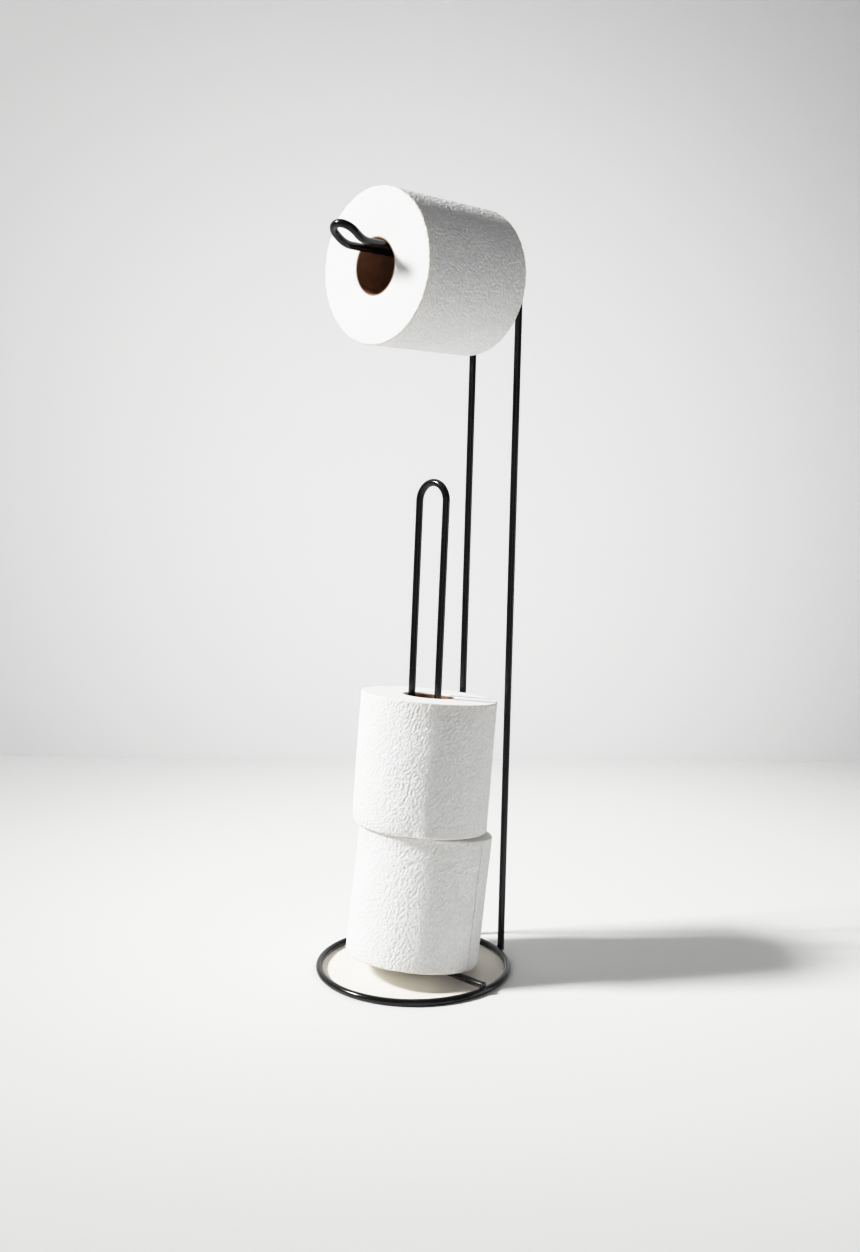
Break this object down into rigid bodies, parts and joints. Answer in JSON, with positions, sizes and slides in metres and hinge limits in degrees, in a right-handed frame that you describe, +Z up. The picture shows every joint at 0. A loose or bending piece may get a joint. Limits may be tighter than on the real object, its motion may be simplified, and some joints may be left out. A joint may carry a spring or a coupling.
{
  "type": "toilet roll holder",
  "caption": "Free-standing toilet roll holder of bent round wire: a ring base, an arm with an upturned tip for the roll in use and an upright spindle for spare rolls, shown loaded.",
  "frame": {"origin": "middle of the footprint, on the floor", "axes": "+Z up; -Y is the front, where the arm's tip points; +X is to the right seen from the front"},
  "size_m": [0.1666, 0.1837, 0.6322],
  "materials": {
    "wire": "satin black powder coat on round steel wire",
    "tissue": "soft white tissue, finely embossed, matt",
    "core_board": "raw grey-brown spiral-wound board, matt"
  },
  "bodies": {
    "stand": {"base_ring": "wire", "frame_wire": "wire", "spindle_wire": "wire", "left_upright_weld": "wire", "right_upright_weld": "wire", "left_foot_weld": "wire", "right_foot_weld": "wire"},
    "hanging_roll": {"hanging_roll_tissue": "tissue", "hanging_roll_core": "core_board"},
    "lower_spare_roll": {"lower_spare_tissue": "tissue", "lower_spare_core": "core_board"},
    "upper_spare_roll": {"upper_spare_tissue": "tissue", "upper_spare_core": "core_board"}
  },
  "joints": [
    {"name": "hanging_roll_spin", "type": "hinge", "parent": "stand", "child": "hanging_roll", "pos_m": [0, 0.00335, 0.57345], "axis": [0, 1, 0], "continuous": true},
    {"name": "lower_spare_lift", "type": "slide", "parent": "stand", "child": "lower_spare_roll", "axis": [0, 0.0508, 0.9987], "range_m": [0, 0.12]},
    {"name": "upper_spare_lift", "type": "slide", "parent": "lower_spare_roll", "child": "upper_spare_roll", "axis": [0, 0.0508, 0.9987], "range_m": [0, 0.14]}
  ]
}
